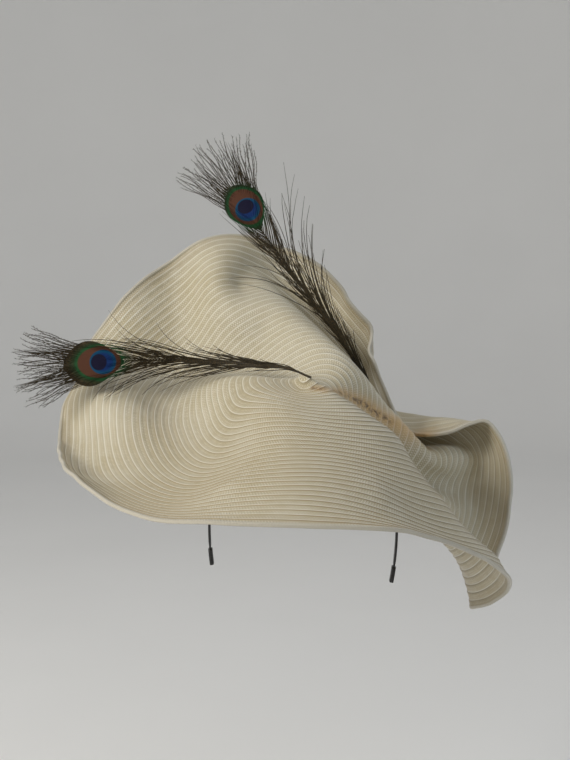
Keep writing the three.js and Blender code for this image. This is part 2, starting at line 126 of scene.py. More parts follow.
FRONT_LOBE_SLOPE = [
    (-95, 0.25, 0, -50, -16, 0.6),
    (-95, 0.5, 1, -101, -34, 1),
    (-95, 0.75, 1, -160, -53, 1),
    (-75, 0.75, 55, -150, -58, 0.3),
    (-112, 0.75, -52, -146, -56, 0.4),
]
TAIL_FOLD = [
    (-44, 0.65, 106, -75, -78, 1),
    (-41, 0.9, 150, -85, -120, 1),
    (-40, 0.4, 77, -42, -34, 0.8),
]
RIGHT_CREASE = [
    (-34, 0.2, 43, -15, -12, 0.4),
    (-36, 0.35, 71, -25, -32, 0.8),
    (-8, 0.2, 42, 4, -19, 0.4),
    (-17, 0.35, 66, -3, -46, 0.8),
    (-19, 0.5, 84, -8, -77, 0.8),
    (-19, 0.7, 103, -14, -119, 1),
]
LEFT_VALLEY = [
    (-174, 0.75, -136, 12, -33, 0.3),
    (-172, 0.45, -76, 40, -19, 0.5),
    (-172, 0.25, -44, 20, -8, 0.5),
]
UPPER_LOBE_BOWL = [
    (112, 0.75, -54, 145, 71, 0.7),
    (112, 0.5, -34, 102, 34, 0.6),
    (112, 0.25, -13, 55, -1, 0.5),
    (134, 0.75, -94, 124, 30, 0.6),
    (134, 0.5, -60, 88, 8, 0.6),
    (134, 0.25, -32, 46, -7, 0.4),
]
RIDGE_CREST = [
    (66, 0.4, 32, 78, 12, 1),
    (52, 0.4, 43, 72, -1, 1),
    (38, 0.4, 57, 62, -12, 1),
    (27, 0.4, 68, 50, -27, 1),
    (18, 0.45, 82, 40, -42, 1),
]
RIDGE_BACK = [
    (57, 0.55, 46, 88, -18, 1.5),
    (48, 0.55, 54, 80, -30, 1.5),
    (40, 0.55, 67, 72, -42, 1.5),
    (30, 0.55, 80, 56, -58, 1.5),
    (22, 0.6, 98, 58, -64, 1),
]
FEATHER_POCKET = [
    (66, 0.7, 40, 112, -26, 2),
    (52, 0.7, 60, 90, -52, 2),
    (58, 0.9, 57, 120, -3, 1),
    (50, 0.9, 71, 102, -26, 1),
]
RIGHT_LOBE_BOWL = [
    (36, 0.7, 108, 90, -70, 1.5),
    (38, 0.85, 115, 84, -39, 0.8),
    (31, 0.85, 133, 88, -39, 0.8),
    (24, 0.8, 140, 90, -67, 0.6),
    (12, 0.85, 153, 86, -86, 0.8),
    (2, 0.85, 153, 72, -105, 0.8),
    (16, 0.65, 123, 58, -79, 0.8),
    (0, 0.7, 125, 45, -92, 0.6),
]
RIM_HOLDS = UPPER_LOBE_RIM + RIGHT_LOBE_RIM + TAIL_RIM + FRONT_LOBE_RIM
FOLD_HOLDS = (
    FRONT_LOBE_SLOPE + TAIL_FOLD + RIGHT_CREASE + LEFT_VALLEY
    + UPPER_LOBE_BOWL + RIDGE_CREST + RIDGE_BACK + FEATHER_POCKET + RIGHT_LOBE_BOWL
)

# Quills, in mm from the disc's centre: x, y, z, and how far the barbs reach over and under
LEFT_QUILL = [
    (10, -8, 6, 2, 2),
    (-9, 10, 12, 4, 4),
    (-39, 32, 13, 8, 7),
    (-72, 44, 14, 12, 12),
    (-113, 50, 15, 18, 22),
    (-152, 46, 14, 22, 27),
    (-194, 42, 11, 22, 30),
]
UPPER_QUILL = [
    (71, 74, -26, 3, 2),
    (56, 76, -1, 7, 3),
    (39, 77, 27, 11, 4),
    (19, 84, 54, 17, 6),
    (-6, 100, 88, 28, 10),
    (-31, 118, 121, 42, 12),
    (-60, 136, 164, 50, 18),
]

# The headband's sizes, from the top of the head
BAND_INNER_HALF_WIDTH = 73.5
BAND_CROWN_HEIGHT = 90.0
BAND_LEG_LENGTH = 133.0
BAND_THICKNESS = 2.0
BAND_WIDTH = 7.0
LEFT_LEG_DROP = 30.0
RIGHT_LEG_DROP = 44.0
CAP_LENGTH = 13.0
CAP_THICKNESS = 3.2
CAP_WIDTH = 8.6
PIECE_GAP = 0.3


# The settled net

def node(ring, spoke):
    return 0 if ring == 0 else 1 + (ring - 1) * SPOKES + spoke % SPOKES


def net_threads(step, turn):
    """Pairs of nodes that keep their flat distance, with their weights."""
    rows = []
    for ring in range(1, RINGS + 1):
        outer, inner = ring * step, (ring - 1) * step
        chord = 2 * outer * math.sin(turn / 2)
        slant = math.hypot(outer - inner * math.cos(turn), inner * math.sin(turn))
        for spoke in range(SPOKES):
            rows.append((node(ring - 1, spoke), node(ring, spoke), step, 1.0))
            rows.append((node(ring, spoke), node(ring, spoke + 1), chord, 1.0))
            if ring > 1:
                rows.append((node(ring, spoke), node(ring - 1, spoke + 1), slant, 0.5))
                rows.append((node(ring - 1, spoke), node(ring, spoke + 1), slant, 0.5))
    return np.array(rows)


def net_bends(step, turn):
    """Weights that add to nothing while the net is flat, along spokes, round rings and in twist."""
    rows = []
    for ring in range(1, RINGS + 1):
        arc = ring * step * turn
        stiffness = BEND * arc * step
        lean = 2 * (1 - math.cos(turn)) * ring
        out, into = (ring + 1) / (ring + 0.5), ring / (ring + 0.5)
        for spoke in range(SPOKES):
            here, aside = node(ring, spoke), node(ring, spoke + 1)
            around = [node(ring, spoke - 1), here, aside, node(ring - 1, spoke)]
            rows.append((around, [1, lean - 2, 1, -lean], stiffness / arc ** 4))
            if ring < RINGS:
                along = [node(ring - 1, spoke), here, node(ring + 1, spoke)]
                rows.append((along, [1, -2, 1], stiffness / step ** 4))
                corners = [here, aside, node(ring + 1, spoke), node(ring + 1, spoke + 1)]
                rows.append((corners, [out, -out, -into, into], stiffness / (step * arc) ** 2))
    return rows


def net_holds():
    rows = [([0], [1.0], HOLD * CENTRE_PULL, np.zeros(3))]
    for angle, share, x, y, z, pull in RIM_HOLDS + FOLD_HOLDS:
        spoke = (angle % 360) / 360 * SPOKES
        part = spoke - math.floor(spoke)
        ring = round(share * RINGS)
        pair = [node(ring, math.floor(spoke)), node(ring, math.floor(spoke) + 1)]
        rows.append((pair, [1 - part, part], pull * HOLD, np.array([x, y, z], float)))
    return rows


def block_solver(matrix):
    """Solves with the net's matrix by blocks of two rings, each of which meets only its neighbours."""
    edges = [0] + [node(ring, 0) for ring in range(3, RINGS + 1, 2)] + [len(matrix)]
    parts = [slice(a, b) for a, b in zip(edges, edges[1:])]
    inverses, into, onward = [], [], []
    for k, part in enumerate(parts):
        block = matrix[part, part]
        if k:
            into.append(matrix[part, parts[k - 1]] @ inverses[-1])
            block = block - into[-1] @ matrix[parts[k - 1], part]
        inverses.append(np.linalg.inv(block))
        if k + 1 < len(parts):
            onward.append(inverses[-1] @ matrix[part, parts[k + 1]])

    def solve(values):
        reduced = [values[parts[0]]]
        for k in range(1, len(parts)):
            reduced.append(values[parts[k]] - into[k - 1] @ reduced[-1])
        solved = [inverses[-1] @ reduced[-1]]
        for k in range(len(parts) - 2, -1, -1):
            solved.insert(0, inverses[k] @ reduced[k] - onward[k] @ solved[0])
        return np.concatenate(solved)

    return solve


def first_net(count):
    """The rim straight between its held places, and the rings shrunk from it."""
    rim = sorted((hold[0] % 360, hold[2:5]) for hold in RIM_HOLDS)
    angles = np.array([r[0] for r in rim], float)
    places = np.array([r[1] for r in rim], float)
    angles = np.concatenate([angles - 360, angles, angles + 360])
    places = np.concatenate([places, places, places])
    spokes = np.arange(SPOKES) * 360 / SPOKES
    rim_places = np.stack([np.interp(spokes, angles, places[:, k]) for k in range(3)], -1)
    net = np.zeros((count, 3))
    for ring in range(1, RINGS + 1):
        net[node(ring, 0):node(ring, 0) + SPOKES] = rim_places * ring / RINGS
    return net


def folded_net():
    """Settles the net and returns its places as rings by spokes."""
    count = 1 + RINGS * SPOKES
    step, turn = DISC_RADIUS / RINGS, 2 * math.pi / SPOKES
    matrix = np.zeros((count, count))
    pulled = np.zeros((count, 3))
    threads = net_threads(step, turn)
    a, b = threads[:, 0].astype(int), threads[:, 1].astype(int)
    length, weight = threads[:, 2], threads[:, 3] * STRETCH
    for rows, sign_a, sign_b in ((a, 1, -1), (b, -1, 1)):
        np.add.at(matrix, (rows, a), sign_a * weight)
        np.add.at(matrix, (rows, b), sign_b * weight)
    for nodes, weights, stiffness in net_bends(step, turn):
        matrix[np.ix_(nodes, nodes)] += stiffness * np.outer(weights, weights)
    for nodes, weights, stiffness, place in net_holds():
        matrix[np.ix_(nodes, nodes)] += stiffness * np.outer(weights, weights)
        pulled[nodes] += stiffness * np.outer(weights, place)
    solve = block_solver(matrix)
    net = first_net(count)
    for _ in range(SETTLE_STEPS):
        gap = net[a] - net[b]
        gap *= (weight * length / np.maximum(np.linalg.norm(gap, axis=1), 1e-6))[:, None]
        pull = [np.bincount(a, gap[:, k], count) - np.bincount(b, gap[:, k], count) for k in range(3)]
        net = solve(pulled + np.stack(pull, -1))
    rings = [np.repeat(net[:1], SPOKES, 0)]
    for ring in range(1, RINGS + 1):
        rings.append(net[node(ring, 0):node(ring, 0) + SPOKES])
    return np.array(rings)


# Smooth curves and surfaces

def cubic_weights(at, count, wrap):
    """Rows of Catmull-Rom weights for places between evenly spaced points."""
    weights = np.zeros((len(at), count))
    for row, place in enumerate(at):
        first = int(math.floor(place)) if wrap else min(int(place), count - 2)
        t = place - first
        four = (
            -0.5 * t + t * t - 0.5 * t ** 3,
            1 - 2.5 * t * t + 1.5 * t ** 3,
            0.5 * t + 2 * t * t - 1.5 * t ** 3,
            -0.5 * t * t + 0.5 * t ** 3,
        )
        for k, value in enumerate(four):
            index = first + k - 1
            weights[row, index % count if wrap else min(max(index, 0), count - 1)] += value
    return weights


def fine_surface(net, shares, spokes):
    """Places and upward normals of the folded sheet at shares of its radius, by spokes."""
    through = np.roll(net[1:3], SPOKES // 2, axis=1)[::-1]
    beyond = 2 * net[-1:] - net[-2:-1]
    rings = np.concatenate([through, net, beyond])
    offset = len(through)
    across = cubic_weights([s * SPOKES / spokes for s in range(spokes)], SPOKES, True)

    def places(values):
        along = cubic_weights([offset + v * RINGS for v in values], len(rings), False)
        on_spokes = np.einsum("ri,ijk->rjk", along, rings)
        return np.einsum("sj,rjk->rsk", across, on_spokes)

    here = places(shares)
    beyond_here = places([min(s + SLOPE_NUDGE, 1) for s in shares])
    before_here = places([max(s - SLOPE_NUDGE, 0) for s in shares])
    outward = beyond_here - before_here
    around = np.roll(here, -1, 1) - np.roll(here, 1, 1)
    normal = np.cross(outward, around)
    return here, normal / np.linalg.norm(normal, axis=2)[:, :, None]


def curve_point(points, t):
    """A place on a centripetal Catmull-Rom curve through the points, t from 0 to 1."""
    last = len(points) - 1
    x = min(max(t, 0.0), 1.0) * last
    i = min(int(x), last - 1)
    w = x - i
    p1, p2 = points[i], points[i + 1]
    p0 = points[i - 1] if i > 0 else 2 * points[0] - points[1]
    p3 = points[i + 2] if i + 2 <= last else 2 * points[last] - points[last - 1]
    d0, d1, d2 = [max(np.linalg.norm(q - p), 1e-4) ** 0.5 for p, q in ((p0, p1), (p1, p2), (p2, p3))]
    m1 = ((p1 - p0) / d0 - (p2 - p0) / (d0 + d1) + (p2 - p1) / d1) * d1
    m2 = ((p2 - p1) / d1 - (p3 - p1) / (d1 + d2) + (p3 - p2) / d2) * d1
    return p1 + m1 * w + (-3 * p1 + 3 * p2 - 2 * m1 - m2) * w * w + (2 * p1 - 2 * p2 + m1 + m2) * w ** 3


# Meshes

def mesh_object(name, points, faces):
    """A smooth-shaded mesh from points in metres and faces given as an array of equal rows."""
    mesh = bpy.data.meshes.new(name)
    faces = np.asarray(faces, np.int32)
    sides = faces.shape[1]
    mesh.vertices.add(len(points))
    mesh.vertices.foreach_set("co", np.asarray(points, np.float32).ravel())
    mesh.loops.add(faces.size)
    mesh.loops.foreach_set("vertex_index", faces.ravel())
    mesh.polygons.add(len(faces))
    mesh.polygons.foreach_set("loop_start", np.arange(0, faces.size, sides, dtype=np.int32))
    mesh.polygons.foreach_set("use_smooth", np.full(len(faces), True))
    mesh.update(calc_edges=True)
    mesh.validate()
    obj = bpy.data.objects.new(name, mesh)
    bpy.context.scene.collection.objects.link(obj)
    return obj


def set_attribute(obj, name, values):
    kind = "FLOAT_VECTOR" if np.ndim(values) == 2 else "FLOAT"
    attribute = obj.data.attributes.new(name, kind, "POINT")
    field = "vector" if kind == "FLOAT_VECTOR" else "value"
    attribute.data.foreach_set(field, np.asarray(values, np.float32).ravel())


def grid_faces(rows, columns):
    """Quads between consecutive rings of a closed grid."""
    ring = np.arange(rows - 1)[:, None] * columns
    a = ring + np.arange(columns)[None, :]
    b = ring + (np.arange(columns)[None, :] + 1) % columns
    return np.stack([a, a + columns, b + columns, b], -1).reshape(-1, 4)


# Materials

class Nodes:
    """A material's node tree, built by short calls."""

    def __init__(self, name):
        self.material = bpy.data.materials.new(name)
        self.material.use_nodes = True
        self.tree = self.material.node_tree
        self.shader = self.tree.nodes["Principled BSDF"]

    def add(self, kind, **settings):
        made = self.tree.nodes.new(kind)
        for key, value in settings.items():
            setattr(made, key, value)
        return made

    def put(self, socket, value):
        """Links a socket to the value, or sets a plain value on it."""
        if isinstance(value, bpy.types.NodeSocket):
            self.tree.links.new(value, socket)
        else:
            socket.default_value = value

    def math(self, operation, *values):
        made = self.add("ShaderNodeMath", operation=operation)
        for socket, value in zip(made.inputs, values):
            self.put(socket, value)
        return made.outputs[0]

    def smooth(self, value, low, high):
        """A soft step of the value, from 0 at low to 1 at high."""
        made = self.add("ShaderNodeMapRange", interpolation_type="SMOOTHSTEP")
        self.put(made.inputs["Value"], value)
        made.inputs["From Min"].default_value = low
        made.inputs["From Max"].default_value = high
        return made.outputs["Result"]

    def mix(self, factor, a, b):
        made = self.add("ShaderNodeMix", data_type="RGBA")
        self.put(made.inputs["Factor"], factor)
        for socket, value in ((made.inputs["A"], a), (made.inputs["B"], b)):
            plain = not isinstance(value, bpy.types.NodeSocket)
            self.put(socket, (*value, 1.0) if plain else value)
        return made.outputs["Result"]

    def tint(self, base, colour, mask, cover):
        """The base with the colour laid over it, as strongly as the mask times the cover."""
        return self.mix(self.math("MULTIPLY", mask, cover), base, colour)

    def noise(self, scale, detail):
        made = self.add("ShaderNodeTexNoise")
        made.inputs["Scale"].default_value = scale
        made.inputs["Detail"].default_value = detail
        self.put(made.inputs["Vector"], self.add("ShaderNodeTexCoord").outputs["Object"])
        return made.outputs["Fac"]

    def patches(self, scale, detail, low, high):
        """Noise put through a soft step."""
        return self.smooth(self.noise(scale, detail), low, high)

    def bump(self, height, depth, strength):
        made = self.add("ShaderNodeBump")
        made.inputs["Strength"].default_value = strength
        made.inputs["Distance"].default_value = depth
        self.put(made.inputs["Height"], height)
        self.put(self.shader.inputs["Normal"], made.outputs["Normal"])

    def set(self, **values):
        """Sets the shader's sockets, each named with _ for a space, and returns the material."""
        for key, value in values.items():
            self.put(self.shader.inputs[key.replace("_", " ")], value)
        return self.material


STRAW_CREAM = (0.66, 0.60, 0.42)
STRAW_PALE = (0.82, 0.79, 0.68)
STRAW_TAN = (0.37, 0.29, 0.155)
# Painted shadow in the seams, under the edge where each row lies over the next
SEAM_PAINTED_SHADOW = (0.36, 0.27, 0.14)
# The last row's colour: darker, as painted shade on the doubled row at the rim
STRAW_LAST_ROW = (0.34, 0.26, 0.15)
STRAW_LIP = (0.52, 0.48, 0.39)
# Painted golden glow in the crease, standing in for light through the folded straw
PAINTED_FOLD_GLOW = (0.60, 0.34, 0.09)
# Painted shade: a dark brown line along the bottom of the crease
PAINTED_CREASE_SHADE = (0.10, 0.05, 0.015)

# The plait: crossings in a length of one row's width, how far they lean across the row, the
# power that rounds them, and the soft step that picks out their tops for the painted glints
PLAIT_COUNT = 3.0
PLAIT_LEAN = 1.5
PLAIT_ROUNDNESS = 0.8
PLAIT_TOPS = (0.62, 0.9)

# Soft steps across a braid row, which runs from 0 at its inner seam to 1 at its outer one
INNER_SEAM = (0.0, 0.07)
OUTER_SEAM = (1.0, 0.96)
# Where the painted highlight lies, on the rising outer part of each row
EDGE_HIGHLIGHT = (0.76, 0.88)

# Soft steps in rows from the disc's centre
LAST_ROW_START = (35.1, 35.3)
LAST_ROW_END = (36.75, 36.6)
LIP_START = (36.55, 36.65)

# Noises: scale, detail, and the two ends of the soft step that each goes through
PATCH_NOISE = (14.0, 3.0, 0.35, 0.7)
STRAND_NOISE = (700.0, 2.0, 0.3, 0.7)
PLAIT_GLINT_NOISE = (160.0, 2.0, 0.35, 0.65)
# Breaks up the painted shade line along the crease
BROKEN_NOISE = (300.0, 1.0, 0.35, 0.6)
GLINT_NOISE = (900.0, 2.0, 0.35, 0.75)
SATIN_NOISE = (60.0, 2.0, 0.3, 0.7)
STUDIO_NOISE = (3.0, 2.0, 0.2, 0.8)

# How strongly each tint covers the straw under it
# How much cream stays in the plait's gaps, under their painted shade
CREAM_IN_GAPS = 0.15
CREAM_RISE = 0.7
PATCH_COVER = 0.25
STRAND_COVER = 0.2
PLAIT_GLINT_COVER = 0.75
EDGE_HIGHLIGHT_COVER = 0.8
LAST_ROW_COVER = 0.2
PAINTED_GLOW_COVER = 0.7

# Bumps: depths in metres and strengths, and what the plait and the strands add to the straw's
PLAIT_HEIGHT = 0.6
STRAND_HEIGHT = 0.15
STRAW_BUMP = (0.0006, 0.9)
BARB_BUMP = (0.0002, 0.5)
SATIN_BUMP = (0.0001, 0.4)
CAP_BUMP = (0.0001, 0.3)

# The crease between the front lobe and the ridge: x, y and z in mm from the disc's centre, and
# the width of its painted golden glow there, which stands in for light through the folded straw
CREASE_LINE = [
    (12, -6, -3, 4),
    (20, -9, -5, 9),
    (36, 14, -10, 12),
    (54, 33, -20, 14),
    (71, 42, -32, 16),
    (88, 46, -45, 22),
    (104, 62, -50, 20),
]
# The width of the painted shade line along the bottom of the crease
CREASE_SHADE_WIDTH = 2.2


def plait_diamonds(n, turn, rows, across):
    """The plait as two waves that lean over the row and cross: 0 in its gaps, 1 on its tops."""
    middle = n.math("ADD", n.math("FLOOR", rows), 0.5)
    crossings = n.math("ROUND", n.math("MULTIPLY", middle, 2 * math.pi * PLAIT_COUNT))
    along = n.math("MULTIPLY", turn, crossings)
    lean = n.math("MULTIPLY", across, PLAIT_LEAN)
    first = n.math("SINE", n.math("MULTIPLY", n.math("ADD", along, lean), math.pi))
    second = n.math("SINE", n.math("MULTIPLY", n.math("SUBTRACT", along, lean), math.pi))
    diamonds = n.math("ABSOLUTE", n.math("MULTIPLY", first, second))
    return n.math("POWER", diamonds, PLAIT_ROUNDNESS)


def straw_material():
    """Sewn braid: rows from the UV's second value, diamonds of plait along each row."""
    n = Nodes("straw_braid")
    uv = n.add("ShaderNodeUVMap", uv_map="braid").outputs["UV"]
    split = n.add("ShaderNodeSeparateXYZ")
    n.put(split.inputs[0], uv)
    turn, radial = split.outputs[0], split.outputs[1]
    folded = n.math("ABSOLUTE", n.math("SUBTRACT", radial, 1.0))
    rows = n.math("MULTIPLY", n.math("SUBTRACT", 1.0, folded), float(BRAID_ROWS))
    across = n.math("FRACT", rows)

    plait = plait_diamonds(n, turn, rows, across)
    strands = n.patches(*STRAND_NOISE)
    seam_high = n.smooth(across, *OUTER_SEAM)
    row_body = n.math("MULTIPLY", n.smooth(across, *INNER_SEAM), seam_high)
    edge_highlight = n.math("MULTIPLY", n.smooth(across, *EDGE_HIGHLIGHT), seam_high)
    plait_glints = n.math("MULTIPLY", n.smooth(plait, *PLAIT_TOPS), n.patches(*PLAIT_GLINT_NOISE))
    last_row = n.math("MULTIPLY", n.smooth(rows, *LAST_ROW_START), n.smooth(rows, *LAST_ROW_END))
    cream = n.math("ADD", n.math("MULTIPLY", plait, CREAM_RISE), CREAM_IN_GAPS)
    glow = n.add("ShaderNodeAttribute", attribute_name="painted_fold_glow").outputs["Fac"]
    shade_line = n.add("ShaderNodeAttribute", attribute_name="crease_painted_shade").outputs["Fac"]

    # Cream on the plait's tops, and painted shade in the tan of its gaps
    base = n.mix(cream, STRAW_TAN, STRAW_CREAM)
    base = n.tint(base, STRAW_PALE, n.patches(*PATCH_NOISE), PATCH_COVER)
    base = n.tint(base, STRAW_TAN, strands, STRAND_COVER)
    # Painted highlights: pale glints on the plait's tops
    base = n.tint(base, STRAW_PALE, plait_glints, PLAIT_GLINT_COVER)
    # Painted highlight: a pale line along each row's rising outer edge
    base = n.tint(base, STRAW_PALE, edge_highlight, EDGE_HIGHLIGHT_COVER)
    # Painted shadow at each row's seams
    base = n.mix(row_body, SEAM_PAINTED_SHADOW, base)
    # Painted shade on the doubled last row
    base = n.tint(base, STRAW_LAST_ROW, last_row, LAST_ROW_COVER)
    base = n.mix(n.smooth(rows, *LIP_START), base, STRAW_LIP)
    # Painted golden glow along the crease, standing in for light through the folded straw
    base = n.tint(base, PAINTED_FOLD_GLOW, glow, PAINTED_GLOW_COVER)
    # Painted shade: a broken brown line along the bottom of the crease
    base = n.tint(base, PAINTED_CREASE_SHADE, shade_line, n.patches(*BROKEN_NOISE))

    plait_height = n.math("MULTIPLY", plait, PLAIT_HEIGHT)
    height = n.math("ADD", plait_height, n.math("MULTIPLY", strands, STRAND_HEIGHT))
    n.bump(n.math("MULTIPLY", height, row_body), *STRAW_BUMP)
    return n.set(Base_Color=base, Roughness=0.34, Specular_IOR_Level=0.6,
                 Sheen_Weight=0.15, Sheen_Roughness=0.4)


FEATHER_DARK = (0.016, 0.013, 0.006)
FEATHER_BRONZE = (0.075, 0.05, 0.02)
EYE_OUTER = (0.016, 0.035, 0.010)
EYE_GREEN = (0.010, 0.065, 0.018)
EYE_BROWN = (0.085, 0.032, 0.016)
EYE_BLUE = (0.0, 0.055, 0.12)
EYE_INDIGO = (0.002, 0.022, 0.11)
EYE_HEART = (0.004, 0.003, 0.020)

# Rings of the eye from the outside in, in mm from its middle, +x to the feather's tip:
# centre x, half length, half width, soft edge as a share, colour
EYE_RINGS = [
    (-1.0, 24.0, 18.0, 0.30, EYE_OUTER),
    (-0.5, 20.5, 16.2, 0.10, EYE_GREEN),
    (0.0, 17.6, 13.8, 0.08, EYE_BROWN),
    (-3.0, 10.8, 10.8, 0.10, EYE_BLUE),
    (-3.2, 8.2, 8.4, 0.40, EYE_INDIGO),
    (0.3, 6.4, 7.2, 0.12, EYE_HEART),
]


def feather_material():
    """Dark barbs with a bronze glint, and the rings of the eye by the place in its plane."""
    n = Nodes("peacock_barbs")
    place = n.add("ShaderNodeAttribute", attribute_name="eye_place").outputs["Vector"]
    split = n.add("ShaderNodeSeparateXYZ")
    n.put(split.inputs[0], place)
    x, y = split.outputs[0], split.outputs[1]
    colour = n.mix(n.patches(*GLINT_NOISE), FEATHER_DARK, FEATHER_BRONZE)
    for centre, half_length, half_width, soft, ring_colour in EYE_RINGS:
        aside = n.math("ABSOLUTE", n.math("DIVIDE", y, half_width))
        ahead = n.math("ABSOLUTE", n.math("DIVIDE", n.math("SUBTRACT", x, centre), half_length))
        squares = n.math("ADD", n.math("POWER", aside, 2.0), n.math("POWER", ahead, 2.0))
        inside = n.smooth(n.math("SQRT", squares), 1.0 + soft / 2, 1.0 - soft / 2)
        colour = n.mix(inside, colour, ring_colour)
    n.bump(n.noise(1500.0, 1.0), *BARB_BUMP)
    return n.set(Base_Color=colour, Roughness=0.5, Specular_IOR_Level=0.2)


SATIN_DARK = (0.010, 0.010, 0.011)
SATIN_LIGHT = (0.022, 0.021, 0.022)
CAP_DARK = (0.008, 0.008, 0.008)
CAP_LIGHT = (0.016, 0.016, 0.016)


def satin_material():
    n = Nodes("band_satin")
    n.bump(n.noise(1400.0, 2.0), *SATIN_BUMP)
    colour = n.mix(n.patches(*SATIN_NOISE), SATIN_DARK, SATIN_LIGHT)
    return n.set(Base_Color=colour, Roughness=0.38, Specular_IOR_Level=0.5)


def cap_material():
    n = Nodes("band_cap")
    grain = n.noise(500.0, 2.0)
    n.bump(grain, *CAP_BUMP)
    colour = n.mix(n.smooth(grain, 0.3, 0.7), CAP_DARK, CAP_LIGHT)
    return n.set(Base_Color=colour, Roughness=0.45)


# The straw disc

def straw_profile():
    """Rings of the fine wall: share of the radius, top height and depth under, in mm."""
    rings = []
    for row in range(BRAID_ROWS):
        for s in ROW_SAMPLES:
            share = (row + s) / BRAID_ROWS
            if share * DISC_RADIUS > DISC_RADIUS - LIP_WIDTH:
                continue
            rise = BRAID_STEP * (min(s / ROW_CREST, 1) - 0.5)
            rings.append((share, WALL_THICKNESS / 2 + rise, WALL_THICKNESS / 2 - rise))
    for inset, swell in LIP_SECTION:
        half = swell * LIP_THICKNESS / 2
        rings.append((1 - inset * LIP_WIDTH / DISC_RADIUS, half, half))
    return rings


def painted_crease_light(places):
    """How strong the painted golden glow and the painted shade line are beside the crease, from 0 to 1.
    """
    line = np.array(CREASE_LINE, float)
    glow = np.zeros(len(places))
    nearest = np.full(len(places), np.inf)
    for start, end in zip(line, line[1:]):
        run = end[:3] - start[:3]
        part = np.clip((places - start[:3]) @ run / (run @ run), 0, 1)
        gap = np.linalg.norm(places - start[:3] - part[:, None] * run, axis=1)
        width = start[3] + (end[3] - start[3]) * part
        glow = np.maximum(glow, np.exp(-(2 * gap / width) ** 2))
        nearest = np.minimum(nearest, gap)
    return glow, np.exp(-(nearest / CREASE_SHADE_WIDTH) ** 2)


def braid_uv(triangles, shares, centres):
    """The turn round the disc, and the share of its radius, from 1 to 2 going back under."""
    share = np.array(shares)
    radial = np.repeat(np.concatenate([share, (2 - share)[::-1]]), FINE_SPOKES)
    radial = np.concatenate([radial, [0.0, 2.0]])
    turn = np.tile(np.arange(FINE_SPOKES) / FINE_SPOKES, 2 * len(shares))
    turn = np.concatenate([turn, [0.0, 0.0]])
    uv = np.stack([turn[triangles], radial[triangles]], -1)
    # A triangle over the end of the turn goes on past 1, and one at a centre takes its rim's turn
    wraps = uv[:, :, 0].max(1) - uv[:, :, 0].min(1) > 0.5
    uv[wraps, :, 0] += uv[wraps, :, 0] < 0.5
    at_centre = np.isin(triangles, centres)
    rim_turn = np.where(at_centre, 0, uv[:, :, 0]).sum(1) / 2
    uv[:, :, 0] = np.where(at_centre, rim_turn[:, None], uv[:, :, 0])
    return uv


def straw_disc():
    """The folded sheet's top and underside as one closed wall, with a fan at each centre."""
    profile = straw_profile()
    shares = [row[0] for row in profile]
    places, normals = fine_surface(folded_net(), shares, FINE_SPOKES)
    up = np.array([row[1] for row in profile])[:, None, None]
    down = np.array([row[2] for row in profile])[:, None, None]
    wall = np.concatenate([places + normals * up, (places - normals * down)[::-1]])
    points = (wall.reshape(-1, 3) + DISC_CENTRE) * MM
    middle_top = points[:FINE_SPOKES].mean(0)
    middle_under = points[-FINE_SPOKES:].mean(0)
    quads = grid_faces(len(wall), FINE_SPOKES)
    spoke = np.arange(FINE_SPOKES)
    following = (spoke + 1) % FINE_SPOKES
    last = (len(wall) - 1) * FINE_SPOKES
    centre_top, centre_under = len(points), len(points) + 1
    points = np.concatenate([points, [middle_top, middle_under]])
    fans = np.concatenate([
        np.stack([np.full(FINE_SPOKES, centre_top), spoke, following], -1),
        np.stack([np.full(FINE_SPOKES, centre_under), last + following, last + spoke], -1),
    ])
    triangles = np.concatenate([quads[:, [0, 1, 2]], quads[:, [0, 2, 3]], fans])
    obj = mesh_object("straw_braid", points, triangles)

    uv = braid_uv(triangles, shares, [centre_top, centre_under])
    layer = obj.data.uv_layers.new(name="braid")
    layer.data.foreach_set("uv", uv.astype(np.float32).ravel())
    # Painted light beside the crease: its golden glow and its line of shade
    glow, shade_line = painted_crease_light(points / MM - DISC_CENTRE)
    set_attribute(obj, "painted_fold_glow", glow)
    set_attribute(obj, "crease_painted_shade", shade_line)
    obj.data.materials.append(straw_material())
    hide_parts("straw_disc")
    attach(obj, "root")


# Feathers

FEATHERS = {
    "left": {
        "quill": LEFT_QUILL,
        "face": (0.0, -1.0, 0.5),
        "eye_start": 0.78,
        "eye_end": 0.99,
        "eye_middle": 0.875,
        "eye_half_width": 20.0,
        "fringe_length": 52.0,
        "fringe_turn": 0.36,
        "seed": 11,
    },
    "upper": {
        "quill": UPPER_QUILL,
        "face": (0.1, -1.0, 0.1),
        "eye_start": 0.83,
        "eye_end": 0.985,
        "eye_middle": 0.915,
        "eye_half_width": 17.0,
        "fringe_length": 64.0,
        "fringe_turn": 0.38,
        "seed": 23,
    },
}
QUILL_WIDTH = 2.2
QUILL_STEPS = 40
QUILL_TIP = 0.3
BARB_SIDES = 3
BARB_STEPS = 14
BARB_FLATNESS = 0.6
BARB_TAPER = 0.6
BARB_TIP = 0.15
WAVE_HEIGHT = 1.1
WAVE_TURNS = 1.6
TANGENT_STEP = 0.001
LAST_PLACE = 0.99

# Below, a pair is the two ends of a random draw. Places along the feather and shares run from 0
# to 1, sizes are in mm and turns in degrees

# Barbs that hug the quill: where they start and how far they run along it, their share of the
# feather's reach, the powers that bend them outwards and curl their ends, and their lift off it
BUNDLE_BARBS = 40
BUNDLE_START = (0.0, 0.62)
BUNDLE_CROWDING = 1.15
BUNDLE_RUN = (0.28, 0.46)
BUNDLE_SPREAD = (0.1, 1.15)
BUNDLE_LIFT = (-2.2, 2.2)
BUNDLE_CURL = (-0.12, 0.22)
BUNDLE_BEND_POWER = 1.25
BUNDLE_CURL_POWER = 5
BUNDLE_WIDTH = (0.8, 1.25)
BUNDLE_TIP = 0.3

